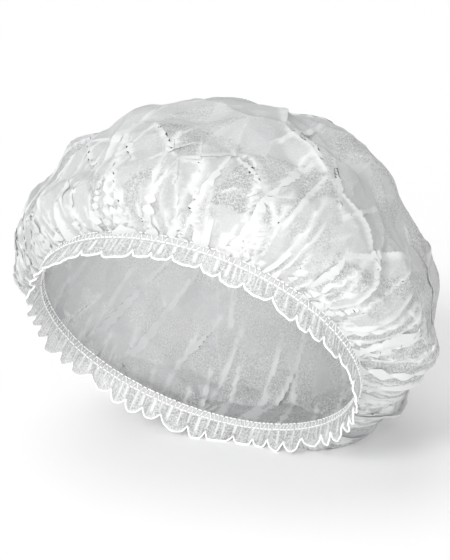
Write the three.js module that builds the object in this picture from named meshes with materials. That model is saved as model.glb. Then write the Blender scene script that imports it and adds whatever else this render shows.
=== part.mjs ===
// Disposable hair cover cap: a gathered bag of thin white cloth, a narrow elastic band round its
// opening and a scalloped ruffle beyond the band. It lies on a table with its opening to the front.
import * as THREE from "three";

// Driving dimensions, in millimetres.
const OPENING_LONG = 182.6;
const OPENING_SHORT = 169.8;
const CLOTH_WALL = 1.5;
const PIECE_GAP = 0.3;
const BAND_WIDTH = 4.2;
const BAND_THICKNESS = 2.0;
const BAND_CHAMFER = 0.5;
const RUFFLE_LENGTH = 11.5;
const RUFFLE_CUSP_LENGTH = 8;
const RUFFLE_WAVE = 2;
const RUFFLE_FLARE = 1.4;
const SCALLOPS = 44;
const SAG = 20;
const RIM_HEIGHT = 77.8;

// How the cap lies, in degrees: turned about the upright axis, tipped back, and rolled on its own axis.
const YAW = -23.6;
const TIP = -53.9;
const ROLL = 26.6;

// Fineness of the meshes.
const BAND_STEPS = 56;
const COLUMNS_PER_SCALLOP = 6;
const RUFFLE_ROWS = 2;
const CROWN_BELTS = [
  { fromRise: 0, toRise: 48, rows: 7, columns: 176 },
  { fromRise: 63, toRise: 148, rows: 6, columns: 88 },
  { fromRise: 165, toRise: 205, rows: 3, columns: 44 },
  { fromRise: 221, toRise: 221, rows: 1, columns: 22 },
];

// The smooth bag, from the seam to the top: width as a share of the opening, and height above the rim.
const CROWN_SECTIONS = [
  { spread: 1.0, height: 2.4 },
  { spread: 1.075, height: 4.5 },
  { spread: 1.2, height: 10.5 },
  { spread: 1.295, height: 21 },
  { spread: 1.335, height: 36 },
  { spread: 1.31, height: 62 },
  { spread: 1.2, height: 92 },
  { spread: 0.98, height: 118 },
  { spread: 0.66, height: 137 },
  { spread: 0.32, height: 146 },
  { spread: 0, height: 148.5 },
];

// Gathers that the elastic makes: how many go round, where up the cloth they are deepest, where they end.
const GATHERS = [
  { count: 44, phase: 0.0, wander: 0.9, deepest: 13, end: 58, lift: 2.3 },
  { count: 27, phase: 1.9, wander: 1.4, deepest: 26, end: 95, lift: 2.3 },
  { count: 15, phase: 4.1, wander: 1.1, deepest: 44, end: 130, lift: 2.0 },
];

// Straight folds, each from one place to another: angle round the rim and rise up the cloth from the seam.
const FOLDS = [
  { fromAngle: 270, fromRise: 6, toAngle: 274, toRise: 86, halfWidth: 13, lift: 6.5 },
  { fromAngle: 294, fromRise: 8, toAngle: 294, toRise: 40, halfWidth: 10, lift: 5 },
  { fromAngle: 294, fromRise: 40, toAngle: 312, toRise: 76, halfWidth: 11, lift: 6 },
  { fromAngle: 288, fromRise: 56, toAngle: 299, toRise: 98, halfWidth: 10, lift: 5 },
  { fromAngle: 282, fromRise: 102, toAngle: 288, toRise: 60, halfWidth: 11, lift: 5 },
  { fromAngle: 258, fromRise: 75, toAngle: 271, toRise: 48, halfWidth: 10, lift: 5 },
  { fromAngle: 265, fromRise: 95, toAngle: 280, toRise: 160, halfWidth: 14, lift: 6 },
  { fromAngle: 226, fromRise: 44, toAngle: 227, toRise: 120, halfWidth: 12, lift: 5 },
  { fromAngle: 243, fromRise: 18, toAngle: 248, toRise: 43, halfWidth: 8, lift: 4 },
  { fromAngle: 255, fromRise: 18, toAngle: 258, toRise: 76, halfWidth: 10, lift: 5 },
  { fromAngle: 240, fromRise: 54, toAngle: 250, toRise: 74, halfWidth: 9, lift: 4 },
  { fromAngle: 213, fromRise: 55, toAngle: 215, toRise: 18, halfWidth: 9, lift: 4 },
  { fromAngle: 236, fromRise: 52, toAngle: 231, toRise: 72, halfWidth: 8, lift: 4 },
  { fromAngle: 325, fromRise: 8, toAngle: 325, toRise: 52, halfWidth: 10, lift: 5 },
  { fromAngle: 347, fromRise: 4, toAngle: 346, toRise: 48, halfWidth: 10, lift: 5 },
  { fromAngle: 336, fromRise: 60, toAngle: 318, toRise: 112, halfWidth: 13, lift: 6 },
  { fromAngle: 124, fromRise: 30, toAngle: 116, toRise: 128, halfWidth: 12, lift: -5 },
  { fromAngle: 110, fromRise: 26, toAngle: 105, toRise: 134, halfWidth: 12, lift: -5 },
  { fromAngle: 95, fromRise: 76, toAngle: 90, toRise: 108, halfWidth: 10, lift: -4 },
  { fromAngle: 145, fromRise: 20, toAngle: 152, toRise: 96, halfWidth: 12, lift: 5 },
  { fromAngle: 172, fromRise: 24, toAngle: 168, toRise: 88, halfWidth: 12, lift: 4 },
  { fromAngle: 196, fromRise: 40, toAngle: 205, toRise: 112, halfWidth: 13, lift: 5 },
  { fromAngle: 12, fromRise: 12, toAngle: 8, toRise: 84, halfWidth: 12, lift: 3 },
  { fromAngle: 38, fromRise: 20, toAngle: 45, toRise: 104, halfWidth: 13, lift: 5 },
  { fromAngle: 66, fromRise: 30, toAngle: 58, toRise: 120, halfWidth: 12, lift: -5 },
];

// Broad places where the crumpled cloth stands out of the smooth bag or falls into it.
const SWELLS = [
  { angle: 292, rise: 160, radius: 44, lift: 7 },
  { angle: 308, rise: 138, radius: 38, lift: 8 },
  { angle: 250, rise: 118, radius: 36, lift: -2 },
  { angle: 218, rise: 120, radius: 36, lift: 4 },
  { angle: 208, rise: 76, radius: 56, lift: -6 },
  { angle: 182, rise: 32, radius: 48, lift: -9 },
  { angle: 338, rise: 76, radius: 44, lift: -5 },
  { angle: 4, rise: 40, radius: 38, lift: -6 },
  { angle: 43, rise: 18, radius: 42, lift: 14 },
];

// Crumple: flat facets between straight creases across the bag, one set of creases a row.
const CRUMPLE = [
  { u: 0.8, v: 0.5, a: 0.33, pitch: 61, shift: 0.1, lift: 1.7 },
  { u: -0.5, v: 0.77, a: 0.4, pitch: 52, shift: 0.45, lift: 1.5 },
  { u: 0.3, v: -0.4, a: 0.87, pitch: 68, shift: 0.7, lift: 1.8 },
  { u: 0.86, v: -0.3, a: -0.41, pitch: 41, shift: 0.2, lift: 1.0 },
];
const CRUMPLE_START = 12;
const CRUMPLE_FULL = 75;
const GATHER_WANDERS = 3;
const FOLD_END_SHARE = 0.08;

// How the lobes of the ruffle differ round the rim: waves round it, and how much each adds to a lobe.
const RUFFLE_UNEVEN = [
  { count: 5, phase: 1, share: 0.07 },
  { count: 11, phase: 0, share: 0.05 },
];

// Steps over which the slope of the bag is measured.
const SLOPE_ANGLE_STEP = 0.01;
const SLOPE_RISE_STEP = 0.5;

const FULL_TURN = 2 * Math.PI;
const RADIUS_U = OPENING_LONG / 2;
const RADIUS_V = OPENING_SHORT / 2;
const MEAN_RADIUS = (RADIUS_U + RADIUS_V) / 2;
const X_AXIS = new THREE.Vector3(1, 0, 0);
const Z_AXIS = new THREE.Vector3(0, 0, 1);

const { clamp, degToRad, lerp, smoothstep } = THREE.MathUtils;

// Placing on the table.
const turn = (axis, degrees) => new THREE.Quaternion().setFromAxisAngle(axis, degToRad(degrees));
const LYING = turn(Z_AXIS, YAW).multiply(turn(X_AXIS, TIP)).multiply(turn(Z_AXIS, ROLL));
const RIM_CENTRE = new THREE.Vector3(0, 0, RIM_HEIGHT);

function laid(point) {
  return point.clone().applyQuaternion(LYING).add(RIM_CENTRE);
}

// Points on an oval round the opening, some way outside the rim and above it.
function aroundRim(angle, outwards, height) {
  const u = (RADIUS_U + outwards) * Math.cos(angle);
  const v = (RADIUS_V + outwards) * Math.sin(angle);
  return new THREE.Vector3(u, v, height);
}

// The smooth bag.
const sectionPoints = CROWN_SECTIONS.map(({ spread, height }) => {
  return new THREE.Vector2(spread * MEAN_RADIUS, height);
});
const crownSection = new THREE.SplineCurve(sectionPoints);
const CLOTH_RISE = crownSection.getLength();

function bagPoint(angle, rise) {
  const along = crownSection.getPointAt(clamp(rise / CLOTH_RISE, 0, 1));
  const spread = along.x / MEAN_RADIUS;
  return new THREE.Vector3(RADIUS_U * spread * Math.cos(angle), RADIUS_V * spread * Math.sin(angle), along.y);
}

function sagged(angle, rise) {
  const point = laid(bagPoint(angle, rise));
  point.z -= SAG * Math.sin(Math.PI * clamp(rise / CLOTH_RISE, 0, 1));
  return point;
}

function bagNormal(angle, rise) {
  if (rise > CLOTH_RISE - SLOPE_RISE_STEP) {
    return Z_AXIS.clone().applyQuaternion(LYING);
  }
  const around = sagged(angle + SLOPE_ANGLE_STEP, rise).sub(sagged(angle - SLOPE_ANGLE_STEP, rise));
  const upwards = sagged(angle, rise + SLOPE_RISE_STEP).sub(sagged(angle, rise - SLOPE_RISE_STEP));
  return around.cross(upwards).normalize();
}

// Relief: how far the cloth stands out of the smooth bag.
function tentWave(turns) {
  return 4 * Math.abs(turns - Math.floor(turns + 0.5)) - 1;
}

// Distance on the cloth from one place to another, taken flat at a given width of the bag.
function clothOffset(angle, rise, fromAngle, fromRise, width) {
  const turned = angle - degToRad(fromAngle);
  const nearest = turned - FULL_TURN * Math.round(turned / FULL_TURN);
  return new THREE.Vector2(nearest * width, rise - fromRise);
}

function bagWidth(rise) {
  return crownSection.getPointAt(rise / CLOTH_RISE).x;
}

function gatherRelief(angle, rise) {
  let total = 0;
  for (const { count, phase, wander, deepest, end, lift } of GATHERS) {
    const wave = Math.sin(count * angle + phase + wander * Math.sin(GATHER_WANDERS * angle + phase));
    const strength = smoothstep(rise, 0, deepest) * (1 - smoothstep(rise, deepest, end));
    total += lift * wave * strength;
  }
  return total;
}

function foldRelief(angle, rise) {
  let total = 0;
  for (const fold of FOLDS) {
    const width = bagWidth((fold.fromRise + fold.toRise) / 2);
    const run = clothOffset(degToRad(fold.toAngle), fold.toRise, fold.fromAngle, fold.fromRise, width);
    const here = clothOffset(angle, rise, fold.fromAngle, fold.fromRise, width);
    const share = clamp(here.dot(run) / run.lengthSq(), 0, 1);
    const distance = here.distanceTo(run.clone().multiplyScalar(share));
    const ofHalfTurn = lerp(FOLD_END_SHARE, 1 - FOLD_END_SHARE, share);
    const taper = Math.sqrt(Math.sin(Math.PI * ofHalfTurn));
    total += fold.lift * taper * Math.max(0, 1 - distance / fold.halfWidth);
  }
  return total;
}

function swellRelief(angle, rise) {
  let total = 0;
  for (const swell of SWELLS) {
    const offset = clothOffset(angle, rise, swell.angle, swell.rise, bagWidth(swell.rise));
    total += swell.lift * (1 - smoothstep(offset.length(), 0, swell.radius));
  }
  return total;
}

function crumpleRelief(angle, rise) {
  const { x, y, z } = bagPoint(angle, rise);
  let total = 0;
  for (const { u, v, a, pitch, shift, lift } of CRUMPLE) {
    total += lift * tentWave((u * x + v * y + a * z) / pitch + shift);
  }
  return total * smoothstep(rise, CRUMPLE_START, CRUMPLE_FULL);
}

function relief(angle, rise) {
  const fixedAtSeam = smoothstep(rise, 0, CRUMPLE_START);
  const shaped = foldRelief(angle, rise) + swellRelief(angle, rise) + crumpleRelief(angle, rise);
  return gatherRelief(angle, rise) + fixedAtSeam * shaped;
}

// A point of the crown, some depth under its outer face, flattened where it lies on the table.
function clothPoint(angle, rise, depth) {
  const out = relief(angle, rise) - depth;
  const point = sagged(angle, rise).addScaledVector(bagNormal(angle, rise), out);
  point.z = Math.max(point.z, depth);
  return point;
}

// Meshes from rings of points.
function ring(columns, pointAt) {
  return Array.from({ length: columns }, (_, column) => pointAt((FULL_TURN * column) / columns));
}

// Joins each ring to the next. A ring may have twice or half the points of the next, or be one point.
function loft(rings, closed) {
  const starts = [];
  let count = 0;
  for (const points of rings) {
    starts.push(count);
    count += points.length;
  }
  const faces = [];
  const joins = closed ? rings.length : rings.length - 1;
  for (let lower = 0; lower < joins; lower += 1) {
    const upper = (lower + 1) % rings.length;
    const steps = Math.max(rings[lower].length, rings[upper].length);
    const index = (which, step) => {
      const size = rings[which].length;
      return starts[which] + (Math.floor((step * size) / steps) % size);
    };
    for (let step = 0; step < steps; step += 1) {
      const a = index(lower, step);
      const b = index(lower, step + 1);
      const c = index(upper, step + 1);
      const d = index(upper, step);
      if (a !== b) {
        faces.push(a, b, c);
      }
      if (c !== d) {
        faces.push(a, c, d);
      }
    }
  }
  const geometry = new THREE.BufferGeometry().setFromPoints(rings.flat());
  geometry.setIndex(faces);
  geometry.computeVertexNormals();
  return geometry;
}

// Crown: an inner and an outer skin that meet at the seam.
function crownSkin(depth) {
  const rings = [];
  for (const { fromRise, toRise, rows, columns } of CROWN_BELTS) {
    for (let row = 0; row < rows; row += 1) {
      const rise = fromRise + ((toRise - fromRise) * row) / Math.max(rows - 1, 1);
      rings.push(ring(columns, (angle) => clothPoint(angle, rise, depth)));
    }
  }
  rings.push([clothPoint(0, CLOTH_RISE, depth)]);
  return rings;
}

function crownGeometry() {
  const inside = crownSkin(CLOTH_WALL).reverse();
  return loft([...inside, ...crownSkin(0)], false);
}

// Elastic band: a flat band with chamfered edges.
function bandGeometry() {
  const thick = BAND_THICKNESS / 2;
  const wide = BAND_WIDTH / 2;
  const corners = [
    { outwards: thick, height: wide - BAND_CHAMFER },
    { outwards: thick - BAND_CHAMFER, height: wide },
  ];
  const upperHalf = [
    ...corners,
    ...corners.toReversed().map(({ outwards, height }) => ({ outwards: -outwards, height })),
  ];
  const lowerHalf = upperHalf.map(({ outwards, height }) => ({ outwards: -outwards, height: -height }));
  const rings = [...upperHalf, ...lowerHalf].map(({ outwards, height }) => {
    return ring(BAND_STEPS, (angle) => laid(aroundRim(angle, outwards, height)));
  });
  return loft(rings, true);
}

// Ruffle: U-shaped lobes that bulge outwards, with short cusps between them.
function ruffleUnevenness(angle) {
  let total = 1;
  for (const { count, phase, share } of RUFFLE_UNEVEN) {
    total += share * Math.sin(count * angle + phase);
  }
  return total;
}

function rufflePoint(angle, share, outwards) {
  const turns = (SCALLOPS * angle) / FULL_TURN;
  const lobe = Math.abs(Math.sin(Math.PI * turns));
  const uneven = ruffleUnevenness(angle);
  const length = (RUFFLE_CUSP_LENGTH + (RUFFLE_LENGTH - RUFFLE_CUSP_LENGTH) * Math.sqrt(lobe)) * uneven;
  const wave = -RUFFLE_WAVE * Math.cos(FULL_TURN * turns) * uneven;
  const seam = -(BAND_WIDTH / 2 + PIECE_GAP);
  const point = laid(aroundRim(angle, outwards + share * (wave + RUFFLE_FLARE), seam - share * length));
  point.z = Math.max(point.z, 0);
  return point;
}

function ruffleSkin(outwards) {
  const rings = [];
  for (let row = 0; row <= RUFFLE_ROWS; row += 1) {
    const share = row / RUFFLE_ROWS;
    rings.push(ring(SCALLOPS * COLUMNS_PER_SCALLOP, (angle) => rufflePoint(angle, share, outwards)));
  }
  return rings;
}

function ruffleGeometry() {
  const outside = ruffleSkin(CLOTH_WALL / 2).reverse();
  return loft([...outside, ...ruffleSkin(-CLOTH_WALL / 2)], true);
}

// The whole cap, with its origin on the table under the middle of its box.
const clothMaterial = new THREE.MeshStandardMaterial({ color: 0xf1f3f4, roughness: 0.9, metalness: 0 });
const elasticMaterial = new THREE.MeshStandardMaterial({ color: 0xfafafa, roughness: 0.75, metalness: 0 });

function piece(name, geometry, material) {
  const mesh = new THREE.Mesh(geometry, material);
  mesh.name = name;
  return mesh;
}

const cap = new THREE.Group();
cap.add(piece("crown", crownGeometry(), clothMaterial));
cap.add(piece("elastic_band", bandGeometry(), elasticMaterial));
cap.add(piece("ruffle", ruffleGeometry(), clothMaterial));

const middle = new THREE.Box3().setFromObject(cap).getCenter(new THREE.Vector3());
cap.position.set(-middle.x, -middle.y, 0);

export default cap;
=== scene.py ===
import math

import bpy
import numpy as np
from mathutils import Matrix, Vector
from mathutils.bvhtree import BVHTree
from mathutils.geometry import delaunay_2d_cdt


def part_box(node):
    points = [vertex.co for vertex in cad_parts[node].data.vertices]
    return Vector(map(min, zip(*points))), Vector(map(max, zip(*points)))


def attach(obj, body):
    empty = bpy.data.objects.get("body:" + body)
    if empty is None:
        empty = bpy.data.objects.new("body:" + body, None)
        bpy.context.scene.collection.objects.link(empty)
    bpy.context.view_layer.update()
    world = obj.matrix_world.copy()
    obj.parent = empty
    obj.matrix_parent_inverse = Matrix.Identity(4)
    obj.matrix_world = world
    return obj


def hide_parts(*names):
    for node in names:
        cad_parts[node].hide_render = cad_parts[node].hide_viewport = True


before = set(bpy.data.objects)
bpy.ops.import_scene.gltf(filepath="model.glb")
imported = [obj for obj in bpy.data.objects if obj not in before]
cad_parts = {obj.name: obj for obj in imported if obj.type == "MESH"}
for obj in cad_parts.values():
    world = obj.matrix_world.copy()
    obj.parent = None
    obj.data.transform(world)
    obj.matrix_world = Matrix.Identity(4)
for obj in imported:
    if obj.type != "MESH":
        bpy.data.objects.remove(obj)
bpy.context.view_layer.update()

# Sizes are in millimetres and degrees until a mesh is made, and metres after that.
MM = 0.001
FULL_TURN = 2 * math.pi

# The cap's own sizes, and how it lies: turned about the upright axis, tipped back and rolled.
OPENING_LONG = 182.6
OPENING_SHORT = 169.8
RADIUS_U = OPENING_LONG / 2
RADIUS_V = OPENING_SHORT / 2
MEAN_RADIUS = (RADIUS_U + RADIUS_V) / 2
BAND_WIDTH = 4.2
BAND_THICKNESS = 2.0
PIECE_GAP = 0.3
SEAM = BAND_WIDTH / 2 + PIECE_GAP
SCALLOPS = 44
SAG = 20
YAW = -23.6
TIP = -53.9
ROLL = 26.6

# Fineness of the cloth.
COLUMNS = SCALLOPS * 14
CROWN_ROWS = 126
ROW_GROWTH = 1.35
RUFFLE_ROWS = 12
BAND_ROWS = 3
ANGLE_STEP = 0.01  # radians, for the directions on the smooth bag
RISE_STEP = 0.5

# The smooth bag, from the seam to the top: width as a share of the opening, and height above the rim.
CROWN_SECTIONS = (
    # spread, height
    (1.0, 2.4),
    (1.075, 4.5),
    (1.2, 10.5),
    (1.295, 21),
    (1.335, 36),
    (1.31, 62),
    (1.2, 92),
    (0.98, 118),
    (0.66, 137),
    (0.32, 146),
    (0, 148.5),
)

# Folds where the cloth lies over itself: from one place to another on the cloth, by the angle round
# the rim and the rise from the seam, with its width at the widest, the side that it lies over to, and
# whether it stands outwards (1) or inwards (-1).
FOLDS = (
    # from_angle, from_rise, to_angle, to_rise, width, side, stands
    (270, 2, 271, 50, 6.5, 1, 1),
    (271, 44, 277, 92, 5.5, 1, 1),
    (294, 6, 294, 46, 6.5, 1, 1),
    (293, 36, 314, 82, 7.5, 1, 1),
    (288, 56, 300, 100, 5, 1, 1),
    (281, 106, 288, 58, 5, -1, 1),
    (257, 78, 272, 46, 4.5, 1, 1),
    (265, 92, 281, 164, 6, 1, 1),
    (226, 40, 227, 124, 6, 1, 1),
    (243, 12, 248, 46, 4.5, 1, 1),
    (255, 12, 259, 80, 5, 1, 1),
    (240, 52, 251, 78, 4.5, -1, 1),
    (213, 58, 215, 14, 5, 1, 1),
    (237, 50, 230, 76, 4.5, 1, 1),
    (325, 5, 325, 58, 6.5, 1, 1),
    (347, 4, 345, 54, 6, -1, 1),
    (338, 56, 316, 116, 7, 1, 1),
    (306, 18, 302, 58, 5, -1, 1),
    (124, 22, 116, 134, 6, 1, -1),
    (110, 18, 104, 140, 6, -1, -1),
    (96, 66, 89, 114, 5, 1, -1),
    (134, 26, 140, 94, 5, 1, -1),
    (82, 20, 86, 78, 5, 1, -1),
    (147, 16, 152, 98, 5.5, 1, -1),
    (172, 20, 168, 90, 5.5, 1, 1),
    (196, 38, 206, 116, 6, 1, 1),
    (12, 10, 8, 86, 6, 1, 1),
    (38, 18, 46, 108, 6, -1, 1),
    (66, 22, 58, 126, 6, 1, -1),
)
FOLD_BASE = 0.36  # half the base of a fold, as a share of its width
FOLD_LIFT = 0.24  # how far a fold stands up, as a share of its width
FOLD_DRAW = 11  # how near a fold the cloth's fine mesh is drawn closer to it
DRAW_SHARE = 0.62  # how much of the way to the fold it is drawn

# The sections of a deep and a shallow fold, which run over to one side, back under themselves and on.
DEEP_FOLD = (
    # place on the base in half bases, place of the folded cloth in fold widths from the middle, height
    (-1.0, -FOLD_BASE, 0),
    (-0.15, 1 - FOLD_BASE, 1),
    (0.45, -0.5, 0.4),
    (1.0, FOLD_BASE, 0),
)
SHALLOW_FOLD = (
    # the same columns
    (-1.0, -FOLD_BASE, 0),
    (-0.1, 1 - FOLD_BASE, 1),
    (0.4, 0, 0.4),
    (1.0, FOLD_BASE, 0),
)

# Broad places where the crumpled cloth stands out of the smooth bag or falls into it.
SWELLS = (
    # angle, rise, radius, lift
    (292, 160, 44, 7),
    (308, 138, 38, 8),
    (250, 118, 36, -2),
    (218, 120, 36, 4),
    (208, 76, 56, -6),
    (182, 32, 48, -9),
    (338, 76, 44, -5),
    (4, 40, 38, -6),
    (43, 18, 42, 14),
    (339, 40, 28, 4),
    (342, 107, 30, 2.5),
    (330, 118, 30, 2.5),
    (303, 152, 28, -4.5),
    (267, 172, 30, -4.5),
    (252, 166, 28, -3.5),
    (226, 126, 26, -3.5),
    (218, 114, 28, -4.5),
    (185, 109, 28, 3),
    (168, 41, 28, -4.5),
)

# Crumple: flat facets between creases, coarse ones and fine ones, and how wide a fold lies along a crease
# where the cloth stands out most.
CRUMPLES = (
    # seed, spacing, lift, fold width
    (11, 36, 6.2, 4.8),
    (12, 17, 4.0, 0),
    (13, 8, 1.3, 0),
)
LIT_SIDE = 205  # angle round the rim on the side towards the lamps, where the cloth is made whiter and more closed as painted light, with painted shade on the far side
COARSE_SHARE = 0.6  # what the coarse facets, the finer ones and the painted lit side add to how full and white the cloth is
FINE_SHARE = 0.4
SIDE_SHARE = 0.2
CREASE_STANDS = 0.3  # least height of a folded crease over its facets, as a share of the lift
CREASE_LOWEST = 8  # least rise of a folded crease
CREASE_FROM_TOP = 25  # least distance of a folded crease from the top of the cloth
INSIDE_SHOWS = (40, 165)  # angles where the inside of the cloth is seen, and a crease folds inwards

# Where the relief starts, by the rise from the seam, and what keeps the cloth above the floor.
FOLDS_FULL = 12
CRUMPLE_START = 3
CRUMPLE_FULL = 40
CALM_TOP = 12  # the last of the cloth before the top, where it isn't folded
FLOOR_CLEAR = 0.15
FLOOR_SPREAD = 0.008  # a place that would lie deeper is kept this share of its depth higher

# Pleats that the elastic makes on the crown, from many short ones to a few long ones.
GATHERS = (
    # seed, count, shortest, longest, narrowest, widest
    (21, 116, 9, 28, 2.6, 3.9),
    (22, 66, 24, 72, 3.4, 5.0),
    (23, 38, 56, 120, 4.4, 6.0),
)

# The ruffle: its lobes, how they wave and flare, and waves round the rim that make them uneven.
RUFFLE_LENGTH = 12
RUFFLE_CUSP_LENGTH = 4.8
RUFFLE_WAVE = 1.3
RUFFLE_FLARE = 1.4
RUFFLE_RIPPLE = 0.6
RUFFLE_BUNCH = 0.007
LOBE_ROUNDING = 0.72  # lower is squarer
MERGED_SIDE = 160  # angle where the lobes run together most
RUFFLE_UNEVEN = (
    # share of the length, waves round the rim, start
    (0.09, 5, 1),
    (0.07, 11, 0),
    (0.05, 17, 2),
)
RUFFLE_WANDER = (
    # share of a lobe, waves round the rim, start
    (0.16, 7, 0),
    (0.12, 13, 1.3),
    (0.08, 19, 0),
)

# The rolled edge, the elastic in its casing, and its stitches.
EDGE_RADIUS = 0.5
EDGE_SIDES = 8
CASING_INSET = 0.15
CASING_RIBS = 216
RIB_COLUMNS = 4
RIB_HEIGHT = 0.14
CASING_SIDES = 16
STITCHES = 210
STITCH_SEED = 5
STITCH_ROW = 1.9  # height of a row of stitches from the middle of the band
STITCH_LIFT = 0.12
STITCH_UNEVEN = 0.12
THREAD_RADIUS = 0.4
CROSS_THREAD = 0.55  # thickness of a thread between the rows, as a share of the others
CAPSULE_PROFILE = (
    # along from the middle in half lengths, width in radii
    (-0.9, 0.45),
    (-0.35, 0.95),
    (0.35, 0.95),
    (0.9, 0.45),
)

# Shading of the mesh.
SMOOTH_ANGLE = 34
SMOOTH_AGREEMENT = 0.7  # least agreement of a smooth face with its corners, as a cosine

# Colours and how far light passes through the cloth.
THIN_CLOTH = (0.40, 0.405, 0.41, 1)
FULL_CLOTH = (0.67, 0.675, 0.68, 1)
# Doubled cloth, and the painted highlight on sharp ridges.
DOUBLED_CLOTH_AND_RIDGE_HIGHLIGHT = (0.77, 0.775, 0.78, 1)
# The thread's white, darker in the low places of its twist as painted shade.
THREAD_WHITE_AND_PAINTED_SHADE = (0.90, 0.90, 0.90, 1), (0.97, 0.97, 0.97, 1)
# The casing's grey, darker in the low places of its bumped folds as painted shade.
CASING_GREY_AND_PAINTED_SHADE = (0.40, 0.40, 0.405, 1), (0.66, 0.66, 0.665, 1)
FLOOR_SHADE = (0.97, 0.97, 0.97, 1)
GLOW_SHARE = 0.12  # light that the cloth lets through diffusely
DOUBLED_AND_RIDGE_COVER = 0.96  # opaque share of doubled cloth, and of sharp ridges, where it is part of their painted highlight
SINGLE_COVER = (0.52, 0.97)  # opaque share of single cloth, from its thinnest to its fullest place
CLUMP_SCALE = 1050.0  # fineness of the fibres' patterns, by the metre
THREAD_SCALE = 1400.0
CLOUD_SCALE = 95.0

# Camera and studio.
CAMERA_LENS = 100
CAMERA_ELEVATION = 18
CAMERA_DISTANCE = 840
RIM_RIGHT = -14.8  # where the opening's centre lies in the view, from the middle of the picture
RIM_UP = -31.25
FLOOR_HALF = 8.0  # metres
FRONT_SKY = 0.82
BACK_SKY = 0.2
SUNS = (
    # name, direction that it comes from, strength, spread
    ("key", (-0.5, -0.7, 0.6), 1.15, 18),
    ("top", (-0.25, 0.1, 1.0), 0.85, 50),
    ("fill", (-0.1, -1.0, 0.25), 0.9, 40),
)
SPOT_PLACE = (0.08, -0.7, 0.2)  # metres, as are its target and radius
SPOT_TARGET = (-0.015, -0.02, 0.06)
SPOT_POWER = 8
SPOT_SPREAD = 17
SPOT_BLEND = 0.8
SPOT_RADIUS = 0.06


# Placing.
def turn_x(degrees):
    c, s = math.cos(math.radians(degrees)), math.sin(math.radians(degrees))
    return np.array([[1, 0, 0], [0, c, -s], [0, s, c]])


def turn_z(degrees):
    c, s = math.cos(math.radians(degrees)), math.sin(math.radians(degrees))
    return np.array([[c, -s, 0], [s, c, 0], [0, 0, 1]])


LYING = turn_z(YAW) @ turn_x(TIP) @ turn_z(ROLL)
RIM_CENTRE = np.mean(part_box("elastic_band"), axis=0) / MM


def laid(points):
    return points @ LYING.T + RIM_CENTRE


def around_rim(angle, outwards, height):
    angle, outwards, height = np.broadcast_arrays(angle, outwards, height)
    u = (RADIUS_U + outwards) * np.cos(angle)
    v = (RADIUS_V + outwards) * np.sin(angle)
    return np.stack([u, v, height], axis=-1)


def smoothstep(x, low, high):
    t = np.clip((x - low) / (high - low), 0, 1)
    return t * t * (3 - 2 * t)


# The smooth bag.
def smooth_curve(points, steps=60):
    points = np.array(points, float)
    padded = np.vstack([points[:1], points, points[-1:]])
    t = np.linspace(0, 1, steps, endpoint=False)[:, None]
    stretches = []
    for before, here, there, after in zip(padded, padded[1:], padded[2:], padded[3:]):
        leave = (there - before) / 2
        arrive = (after - here) / 2
        cubic = 2 * here - 2 * there + leave + arrive
        square = 3 * there - 3 * here - 2 * leave - arrive
        stretches.append(cubic * t**3 + square * t**2 + leave * t + here)
    return np.vstack(stretches + [points[-1:]])


SECTION = smooth_curve([(spread * MEAN_RADIUS, height) for spread, height in CROWN_SECTIONS])
SECTION_RISE = np.concatenate([[0], np.cumsum(np.linalg.norm(np.diff(SECTION, axis=0), axis=1))])
CLOTH_RISE = SECTION_RISE[-1]


def bag_width(rise):
    return np.interp(rise, SECTION_RISE, SECTION[:, 0])


def bag_point(angle, rise):
    angle, rise = np.broadcast_arrays(angle, rise)
    spread = bag_width(rise) / MEAN_RADIUS
    height = np.interp(rise, SECTION_RISE, SECTION[:, 1])
    return np.stack([RADIUS_U * spread * np.cos(angle), RADIUS_V * spread * np.sin(angle), height], axis=-1)


def sagged(angle, rise):
    points = laid(bag_point(angle, rise))
    points[..., 2] -= SAG * np.sin(math.pi * np.clip(rise / CLOTH_RISE, 0, 1))
    return points


def unit(vectors):
    return vectors / np.maximum(np.linalg.norm(vectors, axis=-1, keepdims=True), 1e-9)


def bag_directions(angle, rise):
    """Directions on the smooth bag: round it, up the cloth, and out of it."""
    rise = np.clip(rise, 0, CLOTH_RISE - 2 * RISE_STEP)
    around = unit(sagged(angle + ANGLE_STEP, rise) - sagged(angle - ANGLE_STEP, rise))
    up = unit(sagged(angle, rise + RISE_STEP) - sagged(angle, np.maximum(rise - RISE_STEP, 0)))
    return around, up, unit(np.cross(around, up))


# Relief of the cloth.
def cloth_offset(angle, rise, from_angle, from_rise, width):
    turned = angle - from_angle
    nearest = turned - FULL_TURN * np.round(turned / FULL_TURN)
    return nearest * width, rise - from_rise


def beside_fold(angle, rise, row):
    """Where each place lies by a fold: the share along it, the way aside from it, and its directions."""
    from_angle, from_rise, to_angle, to_rise = row[:4]
    start, end = math.radians(from_angle), math.radians(to_angle)
    width = bag_width((from_rise + to_rise) / 2)
    run_x, run_y = cloth_offset(end, to_rise, start, from_rise, width)
    length = math.hypot(run_x, run_y)
    along_x, along_y = run_x / length, run_y / length
    x, y = cloth_offset(angle, rise, start, from_rise, width)
    return (x * along_x + y * along_y) / length, y * along_x - x * along_y, along_x, along_y


def drawn_to_folds(angle, rise, rows):
    """The same grid of places, drawn closer together beside each fold."""
    for row in rows:
        share, aside, along_x, along_y = beside_fold(angle, rise, row)
        ends = smoothstep(share, -0.25, 0.1) * (1 - smoothstep(share, 0.9, 1.25))
        near = ends * np.clip(1 - (aside / FOLD_DRAW) ** 2, 0, 1) ** 2
        shift = -DRAW_SHARE * aside * near * smoothstep(rise, 0, 8)
        angle = angle - along_y * shift / np.maximum(bag_width(rise), 20)
        rise = np.clip(rise + along_x * shift, 0, CLOTH_RISE)
    return angle, rise


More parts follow.
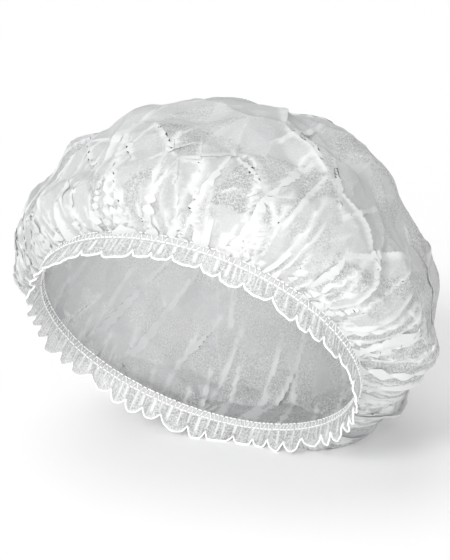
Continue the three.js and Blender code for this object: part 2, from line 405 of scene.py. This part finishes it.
def fold_moves(angle, rise, rows, section, taper):
    """How far each place moves round the bag, up the cloth and outwards, and where layers lie doubled."""
    moves = np.zeros(angle.shape + (3,))
    doubled = np.zeros(angle.shape)
    for row in rows:
        width, side, stands = row[4:]
        share, aside, along_x, along_y = beside_fold(angle, rise, row)
        aside = side * aside
        held = taper(share)
        base = FOLD_BASE * width
        places, over, heights = np.transpose(section)
        shift = np.interp(aside / base, places, (over - FOLD_BASE * places) * width) * held
        moves[..., 0] += -along_y * side * shift
        moves[..., 1] += along_x * side * shift
        moves[..., 2] += stands * FOLD_LIFT * width * np.interp(aside / base, places, heights) * held
        flank = np.abs(aside) < base
        closed = smoothstep(aside, -base, -0.6 * base) * smoothstep(held, 0.02, 0.3)
        doubled = np.maximum(doubled, np.where(flank, closed, 0))
    return moves, doubled


def tapered_ends(share):
    return np.clip(np.minimum(share / 0.45, (1 - share) / 0.55), 0, 1) ** 0.75


def held_at_seam(share):
    inside = (share >= -0.2) & (share <= 1)
    return np.where(inside, np.clip(1 - share, 0, 1) ** 0.7, 0)


def gather_rows():
    rows = []
    for seed, count, shortest, longest, narrowest, widest in GATHERS:
        rng = np.random.default_rng(seed)
        for index in range(count):
            angle = 360 * (index + rng.uniform(-0.45, 0.45)) / count
            length = rng.uniform(shortest, longest)
            lean = rng.uniform(-0.12, 0.12) * length
            width = rng.uniform(narrowest, widest)
            rows.append((angle, 0, angle + lean, length, width, rng.choice([-1, 1]), 1))
    return rows


def swell_lift(angle, rise):
    total = np.zeros(angle.shape)
    for swell_angle, swell_rise, radius, lift in SWELLS:
        x, y = cloth_offset(angle, rise, math.radians(swell_angle), swell_rise, bag_width(swell_rise))
        total += lift * (1 - smoothstep(np.hypot(x, y), 0, radius))
    return total


def spaced_points(rng, spacing, reach):
    """Points spread unevenly over a disc, none closer than the spacing."""
    kept = []
    cells = {}
    for _ in range(int(14 * (reach / spacing) ** 2)):
        point = rng.uniform(-reach, reach, 2)
        cell = tuple((point // spacing).astype(int))
        near = [cells[cell[0] + i, cell[1] + j] for i in (-1, 0, 1) for j in (-1, 0, 1)
                if (cell[0] + i, cell[1] + j) in cells]
        if cell in cells or any(np.hypot(*(point - other)) < spacing for other in near):
            continue
        cells[cell] = point
        kept.append(point)
    return np.array(kept)


def facet_net(seed, spacing, lift):
    """Corners spread over the flat disc of cloth, how far each stands out, and the facets between them."""
    rng = np.random.default_rng(seed)
    places = spaced_points(rng, spacing, CLOTH_RISE + 3 * spacing)
    heights = lift * rng.uniform(-1, 1, len(places))
    corners, _, facets, origin, _, _ = delaunay_2d_cdt([Vector(place) for place in places], [], [], 0, 1e-6)
    order = [source[0] for source in origin]
    return np.array([tuple(corner) for corner in corners]), heights[order], facets


def flat_disc(angle, rise):
    out = CLOTH_RISE - rise
    return np.stack([out * np.cos(angle), out * np.sin(angle)], axis=-1)


def facet_lift(chart, corners, heights, facets):
    """Height of the facets at each place of the flat disc, and how thickly the cloth lies on each facet."""
    net = BVHTree.FromPolygons([Vector((x, y, z)) for (x, y), z in zip(corners, heights)], facets)
    down = Vector((0, 0, -1))
    top = 2 * np.abs(heights).max()
    lifts = np.zeros(chart.shape[:-1])
    fullness = np.zeros(chart.shape[:-1])
    thickness = np.random.default_rng(len(facets)).uniform(0, 1, len(facets))
    for index in np.ndindex(lifts.shape):
        hit, _, facet, _ = net.ray_cast(Vector((*chart[index], top)), down)
        if hit is not None:
            lifts[index] = hit.z
            fullness[index] = thickness[facet]
    return lifts, fullness


def crease_rows(seed, corners, heights, facets, lift, width):
    """Folds along the creases where the cloth stands out most."""
    rng = np.random.default_rng(seed + 100)
    beside = {}
    for facet in facets:
        for index, corner in enumerate(facet):
            edge = tuple(sorted((facet[index - 1], facet[index - 2])))
            beside.setdefault(edge, []).append(corner)
    rows = []
    for (start, end), others in sorted(beside.items()):
        stands = ((heights[start] + heights[end]) / 2 - heights[others].mean()) / lift
        ends = []
        for x, y in (corners[start], corners[end]):
            ends += [math.degrees(math.atan2(y, x)), CLOTH_RISE - math.hypot(x, y)]
        lower, upper = sorted((ends[1], ends[3]))
        inside = CREASE_LOWEST < lower and upper < CLOTH_RISE - CREASE_FROM_TOP
        if len(others) == 2 and inside and stands > CREASE_STANDS:
            way = -1 if INSIDE_SHOWS[0] < ends[0] < INSIDE_SHOWS[1] else 1
            rows.append((*ends, width * min(0.7 + 0.6 * stands, 1.4), rng.choice([-1, 1]), way))
    return rows


def crown_points(angle, rise):
    nets = [facet_net(seed, spacing, lift) for seed, spacing, lift, _ in CRUMPLES]
    creases = []
    for (seed, _, lift, width), net in zip(CRUMPLES, nets):
        if width:
            creases += crease_rows(seed, *net, lift, width)
    angle, rise = drawn_to_folds(angle, rise, creases + list(FOLDS))
    around, up, out = bag_directions(angle, rise)
    folds, fold_doubled = fold_moves(angle, rise, FOLDS, DEEP_FOLD, tapered_ends)
    creased, crease_doubled = fold_moves(angle, rise, creases, SHALLOW_FOLD, tapered_ends)
    gathered, gather_doubled = fold_moves(angle, rise, gather_rows(), DEEP_FOLD, held_at_seam)
    fixed = smoothstep(rise, 0, FOLDS_FULL)
    moves = (folds + creased) * fixed[..., None] + gathered
    chart = flat_disc(angle, rise)
    facets = [facet_lift(chart, *net) for net in nets]
    lifts = sum(lift for lift, _ in facets)
    crumpled = smoothstep(rise, CRUMPLE_START, CRUMPLE_FULL)
    moves[..., 2] += fixed * swell_lift(angle, rise) + lifts * crumpled
    fullness = COARSE_SHARE * facets[0][1] + FINE_SHARE * facets[1][1]
    # Painted light: the cloth is made whiter and more closed on the side towards the lamps, and greyer on
    # the far side.
    fullness = fullness + SIDE_SHARE * np.cos(angle - math.radians(LIT_SIDE))
    near_top = smoothstep(rise, CLOTH_RISE - CALM_TOP, CLOTH_RISE)[..., None]
    moves[..., :2] *= 1 - near_top
    points = sagged(angle, rise)
    points = points + around * moves[..., :1] + up * moves[..., 1:2] + out * moves[..., 2:]
    lowest = FLOOR_CLEAR + FLOOR_SPREAD * np.maximum(-points[..., 2], 0)
    points[..., 2] = np.maximum(points[..., 2], lowest)
    doubled = np.maximum(fixed * np.maximum(fold_doubled, crease_doubled), gather_doubled)
    return points, doubled, smoothstep(fullness, 0.25, 0.75)


def waves_round(angle, rows):
    return sum(size * np.sin(waves * angle + start) for size, waves, start in rows)


def ruffle_points(angle, share):
    """Places on the ruffle, by the angle round the rim and the share of the way from seam to edge."""
    uneven = 1 + waves_round(angle, RUFFLE_UNEVEN)
    turns = SCALLOPS * angle / FULL_TURN + waves_round(angle, RUFFLE_WANDER)
    lobe = np.abs(np.sin(math.pi * turns))
    cusp = RUFFLE_CUSP_LENGTH * (1.2 + 0.25 * np.cos(angle - math.radians(MERGED_SIDE)))
    length = (cusp + (RUFFLE_LENGTH - cusp) * lobe**LOBE_ROUNDING) * uneven
    wave = -RUFFLE_WAVE * np.cos(FULL_TURN * turns) * uneven
    ripple = RUFFLE_RIPPLE * np.sin(3 * FULL_TURN * turns + 5 * np.sin(4 * angle))
    bunch = -RUFFLE_BUNCH * np.sin(FULL_TURN * turns) * share
    outwards = share * (wave + RUFFLE_FLARE) + ripple * np.sqrt(share) * (1 - 0.5 * share)
    points = laid(around_rim(angle + bunch, outwards, -SEAM - share * length))
    points[..., 2] = np.maximum(points[..., 2], FLOOR_CLEAR)
    return points


def ruffle_layers(angle, share):
    """Where the ruffle is doubled: small gathers below the band and the rolled edge."""
    streak = np.cos(4 * SCALLOPS * angle + 3 * np.sin(9 * angle)) + 0.6 * np.cos(2.3 * SCALLOPS * angle)
    gathers = smoothstep(streak, 0.3, 1.0) * (1 - smoothstep(share, 0.5, 0.9))
    return np.maximum(gathers, smoothstep(share, 0.88, 0.96))


# Meshes.
def make_object(name, points, faces, material, smooth_angle=None):
    mesh = bpy.data.meshes.new(name)
    mesh.from_pydata((np.asarray(points) * MM).tolist(), [], faces)
    mesh.materials.append(material)
    mesh.shade_smooth()
    if smooth_angle is not None:
        mesh.set_sharp_from_angle(angle=math.radians(smooth_angle))
    mesh.update()
    piece = bpy.data.objects.new(name, mesh)
    bpy.context.scene.collection.objects.link(piece)
    return piece


def flatten_turned_faces(mesh):
    """Shades a face flat where it turns far away from the smooth shading of its corners."""
    mesh.update()
    corner_normals = np.empty(3 * len(mesh.loops))
    mesh.corner_normals.foreach_get("vector", corner_normals)
    face_normals = np.empty(3 * len(mesh.polygons))
    mesh.polygons.foreach_get("normal", face_normals)
    sizes = np.empty(len(mesh.polygons), np.int32)
    mesh.polygons.foreach_get("loop_total", sizes)
    owner = np.repeat(np.arange(len(sizes)), sizes)
    agree = np.sum(corner_normals.reshape(-1, 3) * face_normals.reshape(-1, 3)[owner], axis=1)
    smooth = np.ones(len(sizes), bool)
    smooth[owner[agree < SMOOTH_AGREEMENT]] = False
    mesh.polygons.foreach_set("use_smooth", smooth)


def grid_faces(rows, columns, closed_rows=False):
    """Four-sided faces between rows of points that close on themselves, row after row."""
    faces = []
    for row in range(rows if closed_rows else rows - 1):
        here, there = row * columns, ((row + 1) % rows) * columns
        for column in range(columns):
            beside = (column + 1) % columns
            faces.append((here + column, here + beside, there + beside, there + column))
    return faces


def column_angles(columns):
    return np.arange(columns) * FULL_TURN / columns


def add_attribute(piece, name, values):
    layer = piece.data.attributes.new(name, "FLOAT", "POINT")
    layer.data.foreach_set("value", np.asarray(values, np.float32))


def ridge_strength(rows):
    """How sharply the cloth is creased at each place: above 0 on a ridge, below 0 in a valley."""
    around = np.roll(rows, -1, axis=1) - np.roll(rows, 1, axis=1)
    up = np.gradient(rows, axis=0)
    out = unit(np.cross(around, up))
    beside = (np.roll(rows, -1, axis=1) + np.roll(rows, 1, axis=1)) / 2
    above = np.copy(rows)
    above[1:-1] = (rows[2:] + rows[:-2]) / 2
    apart = np.linalg.norm(around, axis=-1) + np.linalg.norm(up, axis=-1)
    bend = np.sum((rows - beside + rows - above) * out, axis=-1) / np.maximum(apart, 0.2)
    return np.clip(4 * bend, -1, 1)


def make_cloth(material):
    angles = column_angles(COLUMNS)
    edge_to_seam = np.linspace(1, 0, RUFFLE_ROWS + 1)
    ruffle = ruffle_points(angles[None, :], edge_to_seam[:, None])
    heights = np.linspace(-SEAM, SEAM, BAND_ROWS + 2)[1:-1]
    band = laid(around_rim(angles[None, :], 0.0, heights[:, None]))
    rises = CLOTH_RISE * np.linspace(0, 1, CROWN_ROWS + 1)[:-1] ** ROW_GROWTH
    angle_grid, rise_grid = np.meshgrid(angles, rises)
    crown, doubled, fullness = crown_points(angle_grid, rise_grid)
    top = crown[-1].mean(axis=0)
    rows = np.concatenate([ruffle, band, crown])
    points = np.vstack([rows.reshape(-1, 3), top])
    faces = grid_faces(len(rows), COLUMNS)
    last = (len(rows) - 1) * COLUMNS
    for column in range(COLUMNS):
        faces.append((last + column, last + (column + 1) % COLUMNS, len(points) - 1))
    piece = make_object("cap_cloth", points, faces, material, smooth_angle=SMOOTH_ANGLE)
    ruffle_doubled = ruffle_layers(angles[None, :], edge_to_seam[:, None])
    doubled = np.concatenate([ruffle_doubled, np.ones((len(band), COLUMNS)), doubled])
    fullness = np.concatenate([np.zeros((len(ruffle) + len(band), COLUMNS)), fullness])
    flatten_turned_faces(piece.data)
    add_attribute(piece, "doubled", np.append(doubled.ravel(), 0))
    add_attribute(piece, "fullness", np.append(fullness.ravel(), 0))
    # The crease sharpness that the cloth material turns into a painted highlight along ridges.
    add_attribute(piece, "ridge", np.append(ridge_strength(rows).ravel(), 0))
    return piece


def tube_round(points, radius, sides):
    """A closed tube along a closed line of points: its points and faces."""
    ahead = unit(np.roll(points, -1, axis=0) - np.roll(points, 1, axis=0))
    axis = LYING[:, 2]
    side = unit(np.cross(ahead, axis))
    above = np.cross(side, ahead)
    rings = []
    for corner in range(sides):
        turned = FULL_TURN * corner / sides
        rings.append(points + radius * (math.cos(turned) * side + math.sin(turned) * above))
    return np.concatenate(rings), grid_faces(sides, len(points), closed_rows=True)


def make_ruffle_edge(material):
    edge = ruffle_points(column_angles(COLUMNS), np.ones(COLUMNS))
    edge[:, 2] = np.maximum(edge[:, 2], EDGE_RADIUS)
    points, faces = tube_round(edge, EDGE_RADIUS, EDGE_SIDES)
    return make_object("ruffle_edge", points, faces, material)


def make_band(material):
    """The elastic inside its casing, drawn into small ribs."""
    columns = CASING_RIBS * RIB_COLUMNS
    angles = column_angles(columns)
    half_thick, half_wide = BAND_THICKNESS / 2 - CASING_INSET, BAND_WIDTH / 2
    rib = RIB_HEIGHT * np.cos(CASING_RIBS * angles + 2 * np.sin(9 * angles))
    rings = []
    for corner in range(CASING_SIDES):
        turned = FULL_TURN * corner / CASING_SIDES
        across = math.copysign(abs(math.cos(turned)) ** 0.5, math.cos(turned))
        height = math.copysign(abs(math.sin(turned)) ** 0.5, math.sin(turned))
        rings.append(laid(around_rim(angles, across * (half_thick + rib), height * half_wide)))
    faces = grid_faces(CASING_SIDES, columns, closed_rows=True)
    return make_object("elastic_casing", np.concatenate(rings), faces, material)


def capsule(start, end, radius, sides=6):
    """A rounded short length of thread: its points and faces."""
    ahead = unit(end - start)
    side = unit(np.cross(ahead, LYING[:, 2] + 0.3 * LYING[:, 0]))
    above = np.cross(side, ahead)
    turned = np.arange(sides) * FULL_TURN / sides
    round_it = np.cos(turned)[:, None] * side + np.sin(turned)[:, None] * above
    rings = []
    middle, half = (start + end) / 2, (end - start) / 2
    for along, width in CAPSULE_PROFILE:
        rings.append(middle + along * half + radius * width * round_it)
    points = np.vstack(rings + [start[None], end[None]])
    faces = grid_faces(len(CAPSULE_PROFILE), sides)
    first, last = len(points) - 2, (len(CAPSULE_PROFILE) - 1) * sides
    for corner in range(sides):
        beside = (corner + 1) % sides
        faces.append((beside, corner, first))
        faces.append((last + corner, last + beside, first + 1))
    return points, faces


def make_stitches(material):
    """Two rows of stitches on each face of the band, with short threads across between the rows."""
    rng = np.random.default_rng(STITCH_SEED)
    points, faces = [], []

    def sew(start, end, thick):
        places, sides = capsule(start, end, thick)
        base = sum(len(group) for group in points)
        points.append(places)
        faces.extend(tuple(base + corner for corner in face) for face in sides)

    step = FULL_TURN / STITCHES
    for face in (-1, 1):
        outwards = face * (BAND_THICKNESS / 2 + STITCH_LIFT)
        for index in range(STITCHES):
            angle = step * (index + STITCH_UNEVEN * rng.uniform(-1, 1))
            for row in (-1, 1):
                height = row * (STITCH_ROW + STITCH_UNEVEN * rng.uniform(-1, 1))
                start = laid(around_rim(angle - 0.44 * step, outwards, height))
                end = laid(around_rim(angle + 0.44 * step, outwards, height))
                sew(start, end, THREAD_RADIUS)
            lean = step * 0.3 * rng.uniform(-1, 1)
            start = laid(around_rim(angle + 0.5 * step - lean, outwards, -STITCH_ROW + 0.2))
            end = laid(around_rim(angle + 0.5 * step + lean, outwards, STITCH_ROW - 0.2))
            sew(start, end, THREAD_RADIUS * CROSS_THREAD)
    return make_object("elastic_stitches", np.vstack(points), faces, material)


# Materials.
def new_material(name):
    material = bpy.data.materials.new(name)
    material.use_nodes = True
    tree = material.node_tree
    tree.nodes.clear()
    return material, tree


def add_node(tree, kind, inputs=None, **settings):
    node = tree.nodes.new(kind)
    for key, value in settings.items():
        setattr(node, key, value)
    for key, value in (inputs or {}).items():
        if isinstance(value, bpy.types.NodeSocket):
            tree.links.new(value, node.inputs[key])
        else:
            node.inputs[key].default_value = value
    return node


def map_range(tree, value, low, high, to_low, to_high):
    node = add_node(tree, "ShaderNodeMapRange", {
        "Value": value, "From Min": low, "From Max": high, "To Min": to_low, "To Max": to_high,
    })
    return node.outputs["Result"]


def attribute(tree, name):
    return add_node(tree, "ShaderNodeAttribute", attribute_name=name).outputs["Fac"]


def math_node(tree, operation, *values):
    return add_node(tree, "ShaderNodeMath", dict(enumerate(values)), operation=operation).outputs[0]


def mixed_colour(tree, factor, first, second):
    mix = add_node(tree, "ShaderNodeMix", {"Factor": factor, "A": first, "B": second}, data_type="RGBA")
    return mix.outputs["Result"]


def bumped(tree, height, strength, distance):
    bump = add_node(tree, "ShaderNodeBump", {"Height": height, "Strength": strength, "Distance": distance})
    return bump.outputs["Normal"]


def fibre_pattern(tree):
    """The fibres and their uneven cloud in spunbond cloth, from 0 in a gap to 1, and the fibres alone."""
    place = add_node(tree, "ShaderNodeTexCoord").outputs["Object"]
    clumps = add_node(tree, "ShaderNodeTexNoise", {
        "Vector": place, "Scale": CLUMP_SCALE, "Detail": 3.0, "Roughness": 0.7, "Distortion": 0.8,
    })
    threads = add_node(tree, "ShaderNodeTexNoise", {
        "Vector": place, "Scale": THREAD_SCALE, "Detail": 2.0, "Distortion": 1.4,
    }, noise_type="RIDGED_MULTIFRACTAL")
    cloud = add_node(tree, "ShaderNodeTexNoise", {
        "Vector": place, "Scale": CLOUD_SCALE, "Detail": 3.0, "Roughness": 0.55,
    })
    fine = map_range(tree, clumps.outputs["Fac"], 0.42, 0.60, 0.0, 1.0)
    lines = map_range(tree, threads.outputs["Fac"], 0.2, 1.1, 0.0, 1.0)
    wide = map_range(tree, cloud.outputs["Fac"], 0.3, 0.7, 0.0, 1.0)
    web = math_node(tree, "MAXIMUM", fine, lines)
    clouded = math_node(tree, "MULTIPLY_ADD", wide, 0.3, math_node(tree, "MULTIPLY", web, 0.7))
    return clouded, web


def cloth_material():
    """Thin fibrous cloth: greyer and see-through where single, white and closed where it lies doubled, with
    a painted highlight along sharp ridges and painted light on the side towards the lamps.
    """
    material, tree = new_material("nonwoven_cloth")
    fibres, web = fibre_pattern(tree)
    # The facets' random fullness and the painted lit side make the fibres denser, whiter and more closed.
    even = math_node(tree, "MULTIPLY", attribute(tree, "fullness"), 0.85)
    density_and_lit_side = add_node(tree, "ShaderNodeMix", {"Factor": even, "A": fibres, "B": 0.8}).outputs["Result"]
    # Sharp convex ridges are whitened and closed like doubled cloth, a painted highlight along the creases;
    # thick holds both the doubled cloth and this highlight.
    ridge = map_range(tree, attribute(tree, "ridge"), 0.05, 0.6, 0.0, 0.8)
    thick = math_node(tree, "MAXIMUM", attribute(tree, "doubled"), ridge)
    single_cover = map_range(tree, density_and_lit_side, 0.15, 0.85, *SINGLE_COVER)
    covers = {"Factor": thick, "A": single_cover, "B": DOUBLED_AND_RIDGE_COVER}
    cover = add_node(tree, "ShaderNodeMix", covers).outputs["Result"]
    single_colour = mixed_colour(tree, density_and_lit_side, THIN_CLOTH, FULL_CLOTH)
    tint = mixed_colour(tree, thick, single_colour, DOUBLED_CLOTH_AND_RIDGE_HIGHLIGHT)
    normal = bumped(tree, web, 0.25, 0.0003)
    surface = add_node(tree, "ShaderNodeBsdfPrincipled", {
        "Base Color": tint, "Roughness": 0.72, "Specular IOR Level": 0.3, "Sheen Weight": 0.12,
        "Sheen Roughness": 0.4, "Normal": normal,
    })
    glow = add_node(tree, "ShaderNodeBsdfTranslucent", {"Color": tint, "Normal": normal})
    cloth = add_node(tree, "ShaderNodeMixShader", {
        "Fac": GLOW_SHARE, 1: surface.outputs["BSDF"], 2: glow.outputs["BSDF"],
    })
    gaps = add_node(tree, "ShaderNodeBsdfTransparent")
    whole = add_node(tree, "ShaderNodeMixShader", {
        "Fac": cover, 1: gaps.outputs["BSDF"], 2: cloth.outputs["Shader"],
    })
    add_node(tree, "ShaderNodeOutputMaterial", {"Surface": whole.outputs["Shader"]})
    return material


def thread_material():
    material, tree = new_material("white_thread")
    place = add_node(tree, "ShaderNodeTexCoord").outputs["Object"]
    twist = add_node(tree, "ShaderNodeTexNoise", {"Vector": place, "Scale": 2400.0, "Detail": 2.0})
    surface = add_node(tree, "ShaderNodeBsdfPrincipled", {
        # Darker where the twist's bump is low: painted shade between the strands.
        "Base Color": mixed_colour(tree, twist.outputs["Fac"], *THREAD_WHITE_AND_PAINTED_SHADE), "Roughness": 0.6,
        "Sheen Weight": 0.2, "Normal": bumped(tree, twist.outputs["Fac"], 0.4, 0.0002),
    })
    add_node(tree, "ShaderNodeOutputMaterial", {"Surface": surface.outputs["BSDF"]})
    return material


def casing_material():
    material, tree = new_material("elastic_casing")
    place = add_node(tree, "ShaderNodeTexCoord").outputs["Object"]
    folds = add_node(tree, "ShaderNodeTexNoise", {"Vector": place, "Scale": 700.0, "Detail": 3.0})
    surface = add_node(tree, "ShaderNodeBsdfPrincipled", {
        # Darker where the folds' bump is low: painted shade in their hollows.
        "Base Color": mixed_colour(tree, folds.outputs["Fac"], *CASING_GREY_AND_PAINTED_SHADE), "Roughness": 0.8,
        "Normal": bumped(tree, folds.outputs["Fac"], 0.5, 0.0004),
    })
    add_node(tree, "ShaderNodeOutputMaterial", {"Surface": surface.outputs["BSDF"]})
    return material


def floor_material():
    material, tree = new_material("pale_floor")
    surface = add_node(tree, "ShaderNodeBsdfPrincipled", {
        "Base Color": FLOOR_SHADE, "Roughness": 0.9, "Specular IOR Level": 0.1,
    })
    add_node(tree, "ShaderNodeOutputMaterial", {"Surface": surface.outputs["BSDF"]})
    return material


# Studio.
def make_camera():
    rise = math.radians(CAMERA_ELEVATION)
    right = np.array([1, 0, 0])
    ahead = np.array([0, math.cos(rise), -math.sin(rise)])
    up = np.array([0, math.sin(rise), math.cos(rise)])
    place = RIM_CENTRE - RIM_RIGHT * right - RIM_UP * up - CAMERA_DISTANCE * ahead
    data = bpy.data.cameras.new("camera")
    data.lens = CAMERA_LENS
    data.clip_start = 0.01
    camera = bpy.data.objects.new("camera", data)
    bpy.context.scene.collection.objects.link(camera)
    turned = Matrix([[right[i], up[i], -ahead[i]] for i in range(3)])
    camera.matrix_world = Matrix.Translation(Vector(place * MM)) @ turned.to_4x4()
    bpy.context.scene.camera = camera


def make_floor():
    corners = [(x * FLOOR_HALF, y * FLOOR_HALF, 0) for x, y in ((-1, -1), (1, -1), (1, 1), (-1, 1))]
    mesh = bpy.data.meshes.new("floor")
    mesh.from_pydata(corners, [], [(0, 1, 2, 3)])
    mesh.materials.append(floor_material())
    floor = bpy.data.objects.new("floor", mesh)
    bpy.context.scene.collection.objects.link(floor)


def sun_light(name, from_direction, strength, spread):
    data = bpy.data.lights.new(name, "SUN")
    data.energy = strength
    data.angle = math.radians(spread)
    lamp = bpy.data.objects.new(name, data)
    bpy.context.scene.collection.objects.link(lamp)
    lamp.rotation_euler = Vector(from_direction).to_track_quat("Z", "Y").to_euler()


def opening_light():
    """A soft spot into the opening."""
    data = bpy.data.lights.new("into_opening", "SPOT")
    data.energy = SPOT_POWER
    data.spot_size = math.radians(SPOT_SPREAD)
    data.spot_blend = SPOT_BLEND
    data.shadow_soft_size = SPOT_RADIUS
    lamp = bpy.data.objects.new("into_opening", data)
    bpy.context.scene.collection.objects.link(lamp)
    lamp.location = SPOT_PLACE
    lamp.rotation_euler = (Vector(SPOT_PLACE) - Vector(SPOT_TARGET)).to_track_quat("Z", "Y").to_euler()


def make_world():
    """Even white light, stronger from the front than from behind."""
    world = bpy.data.worlds.new("studio")
    world.use_nodes = True
    tree = world.node_tree
    place = add_node(tree, "ShaderNodeTexCoord").outputs["Generated"]
    depth = add_node(tree, "ShaderNodeSeparateXYZ", {"Vector": place}).outputs["Y"]
    sky = tree.nodes["Background"]
    tree.links.new(map_range(tree, depth, -0.7, 0.7, FRONT_SKY, BACK_SKY), sky.inputs["Strength"])
    sky.inputs["Color"].default_value = (1, 1, 1, 1)
    bpy.context.scene.world = world


def make_light():
    for sun in SUNS:
        sun_light(*sun)
    opening_light()
    make_world()
    bpy.context.scene.view_settings.view_transform = "Standard"


# The cap.
make_camera()
make_floor()
make_light()

cloth_finish = cloth_material()
thread_finish = thread_material()
cloth = make_cloth(cloth_finish)
edge = make_ruffle_edge(thread_finish)
casing = make_band(casing_material())
stitches = make_stitches(thread_finish)

for piece in (cloth, edge, casing, stitches):
    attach(piece, "root")
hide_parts("crown", "ruffle")
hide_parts("elastic_band")
